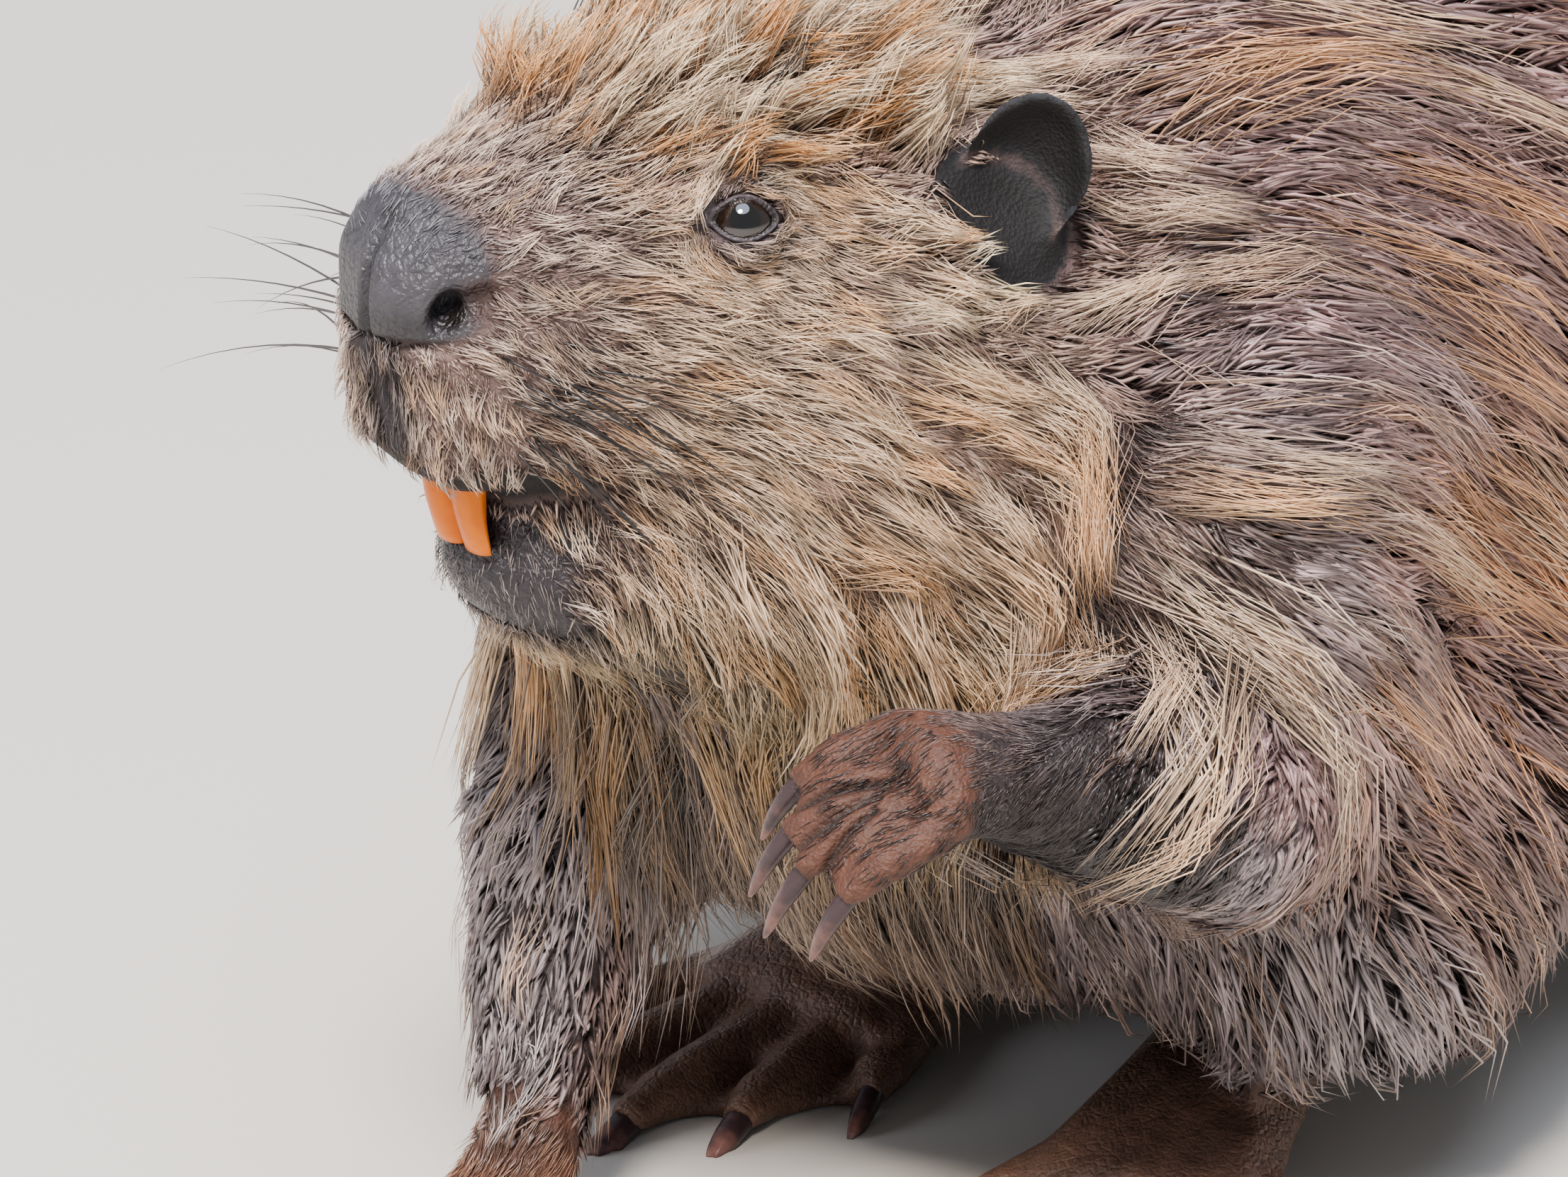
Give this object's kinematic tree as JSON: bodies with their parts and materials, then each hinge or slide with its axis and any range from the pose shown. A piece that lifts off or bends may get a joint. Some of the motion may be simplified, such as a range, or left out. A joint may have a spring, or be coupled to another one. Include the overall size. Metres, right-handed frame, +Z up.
{
  "type": "beaver",
  "caption": "Adult Eurasian beaver hunched on its haunches, one forefoot down and the other lifted to its chest, head raised and turned, flat tail laid out behind.",
  "frame": {"origin": "On the floor, under the middle of the whole animal's box.", "axes": "+X to the animal's left, -Y ahead of it along its spine, +Y towards its tail, +Z up."},
  "size_m": [0.287, 0.8468, 0.3194],
  "materials": {
    "coat": "wet guard hairs over dense underfur",
    "skin": "bare paw and ear skin",
    "tail": "scaly, matt",
    "claw": "smooth horn",
    "enamel": "orange enamel, glossy",
    "eye": "wet, polished"
  },
  "bodies": {
    "root": {"abdomen": "coat", "chest": "coat", "ear_left": "skin", "ear_right": "skin", "eye_left": "eye", "eye_right": "eye", "fore_claw_left_1": "claw", "fore_claw_left_2": "claw", "fore_claw_left_3": "claw", "fore_claw_left_4": "claw", "fore_claw_left_5": "claw", "fore_claw_right_1": "claw", "fore_claw_right_2": "claw", "fore_claw_right_3": "claw", "fore_claw_right_4": "claw", "fore_claw_right_5": "claw", "forearm_left": "coat", "forearm_right": "coat", "forepaw_left": "skin", "forepaw_right": "skin", "head": "coat", "hind_claw_left_1": "claw", "hind_claw_left_2": "claw", "hind_claw_left_3": "claw", "hind_claw_left_4": "claw", "hind_claw_left_5": "claw", "hind_claw_right_1": "claw", "hind_claw_right_2": "claw", "hind_claw_right_3": "claw", "hind_claw_right_4": "claw", "hind_claw_right_5": "claw", "hind_foot_left": "skin", "hind_foot_right": "skin", "incisor_left": "enamel", "incisor_right": "enamel", "lower_jaw": "coat", "neck": "coat", "rump": "coat", "shank_left": "coat", "shank_right": "coat", "tail": "tail", "tail_base": "coat", "thigh_left": "coat", "thigh_right": "coat", "upper_arm_left": "coat", "upper_arm_right": "coat"}
  },
  "joints": []
}
